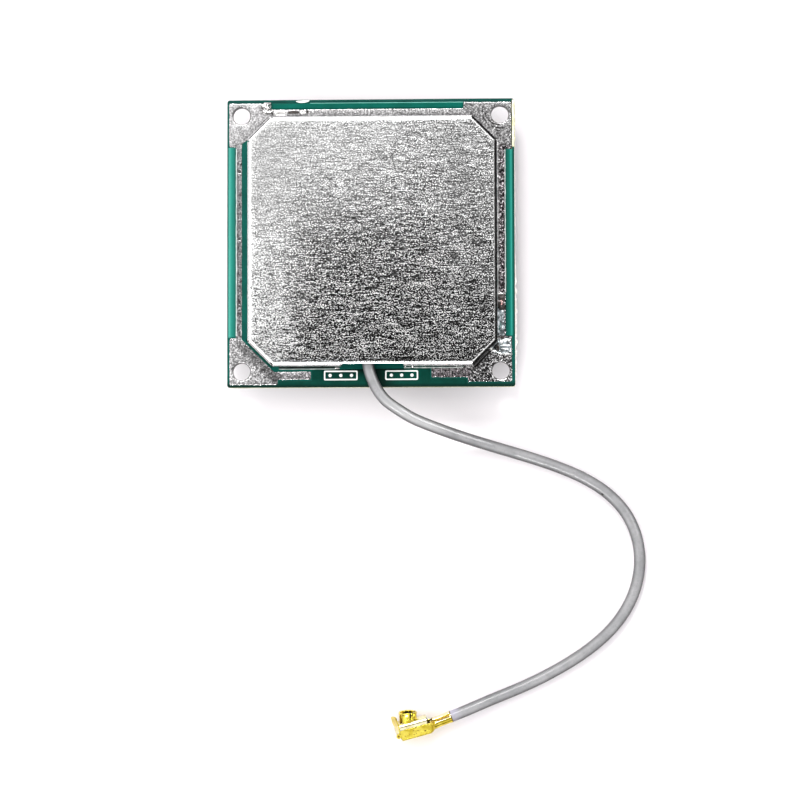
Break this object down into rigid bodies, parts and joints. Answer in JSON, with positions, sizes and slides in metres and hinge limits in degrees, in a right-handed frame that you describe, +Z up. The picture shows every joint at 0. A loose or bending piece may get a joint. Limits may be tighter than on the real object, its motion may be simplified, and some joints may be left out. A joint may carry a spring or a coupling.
{
  "type": "gps module",
  "caption": "Active satellite-navigation antenna module: ceramic patch under a green circuit board, tinplate shield can on top, thin coaxial lead ending in a gold-plated snap plug.",
  "frame": {"origin": "under the middle of the board, on the surface that the patch lies on", "axes": "+Z up, out of the shield can's top; -Y the side that the lead leaves from; +X to the right seen from above"},
  "size_m": [0.0507, 0.0781, 0.0078],
  "materials": {
    "board_green": "solder mask over copper, satin, with tinned pads",
    "tinplate": "bright tinplate with a fine grain",
    "solder": "bright solder",
    "patch_ceramic": "unglazed microwave ceramic, matt",
    "fired_silver": "fired silver, satin",
    "bonding_tape": "double-sided tape, matt",
    "tinned_pin": "tinned",
    "black_moulding": "moulded, matt",
    "filter_ceramic": "ceramic package",
    "capacitor_brown": "chip ceramic with tinned ends",
    "resistor_black": "chip resistor with tinned ends",
    "inductor_blue": "chip inductor with tinned ends",
    "jacket_grey": "smooth fluoropolymer jacket",
    "tinned_braid": "woven tinned wire",
    "dielectric_white": "smooth white",
    "silvered_core": "silvered wire",
    "gold_plate": "gold plated, satin to bright"
  },
  "bodies": {
    "root": {"pcb": "board_green", "shield_can": "tinplate", "solder_top_left": "solder", "solder_top_edge": "solder", "solder_right_side": "solder", "solder_bottom_right": "solder", "patch_ceramic": "patch_ceramic", "patch_electrode": "fired_silver", "patch_ground_electrode": "fired_silver", "adhesive_pad": "bonding_tape", "feed_pin": "tinned_pin", "feed_pin_solder": "solder", "input_coupling_capacitor": "capacitor_brown", "input_match_inductor": "inductor_blue", "first_amplifier": "black_moulding", "saw_filter": "filter_ceramic", "second_amplifier": "black_moulding", "output_coupling_capacitor": "capacitor_brown", "bias_choke": "inductor_blue", "supply_bypass_capacitor": "capacitor_brown", "supply_resistor": "resistor_black", "first_bias_resistor": "resistor_black", "second_bias_resistor": "resistor_black", "first_bias_capacitor": "capacitor_brown", "coax_jacket": "jacket_grey", "coax_braid": "tinned_braid", "coax_dielectric": "dielectric_white", "coax_core": "silvered_core", "braid_solder": "solder", "core_solder": "solder", "plug_shell": "gold_plate", "plug_insulator": "black_moulding", "plug_contact": "gold_plate", "coax_braid_plug_end": "tinned_braid"}
  },
  "joints": []
}
